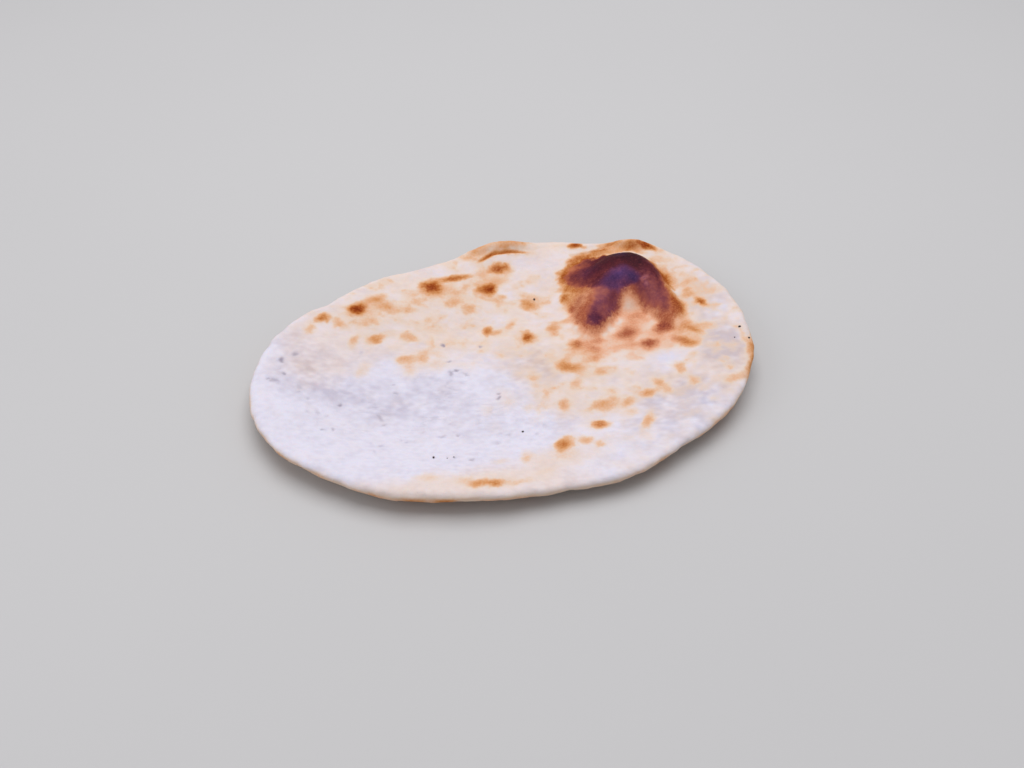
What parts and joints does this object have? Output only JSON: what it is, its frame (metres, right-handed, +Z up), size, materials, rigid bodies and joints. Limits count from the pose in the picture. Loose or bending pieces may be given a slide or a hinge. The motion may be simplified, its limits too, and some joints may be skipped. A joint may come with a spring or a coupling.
{
  "type": "naan",
  "caption": "Oval flatbread baked on a clay oven wall, slightly dished, with a puffed rim, browned spots and a burnt blister near its back edge.",
  "frame": {"origin": "on the surface that the bread rests on, under the middle of its outline", "axes": "+X along the bread's length towards the end with the burnt blister, +Y across it towards the edge that the blister is near, +Z up"},
  "size_m": [0.2946, 0.2048, 0.026],
  "materials": {
    "bread": null
  },
  "bodies": {
    "root": {"naan": "bread"}
  },
  "joints": []
}
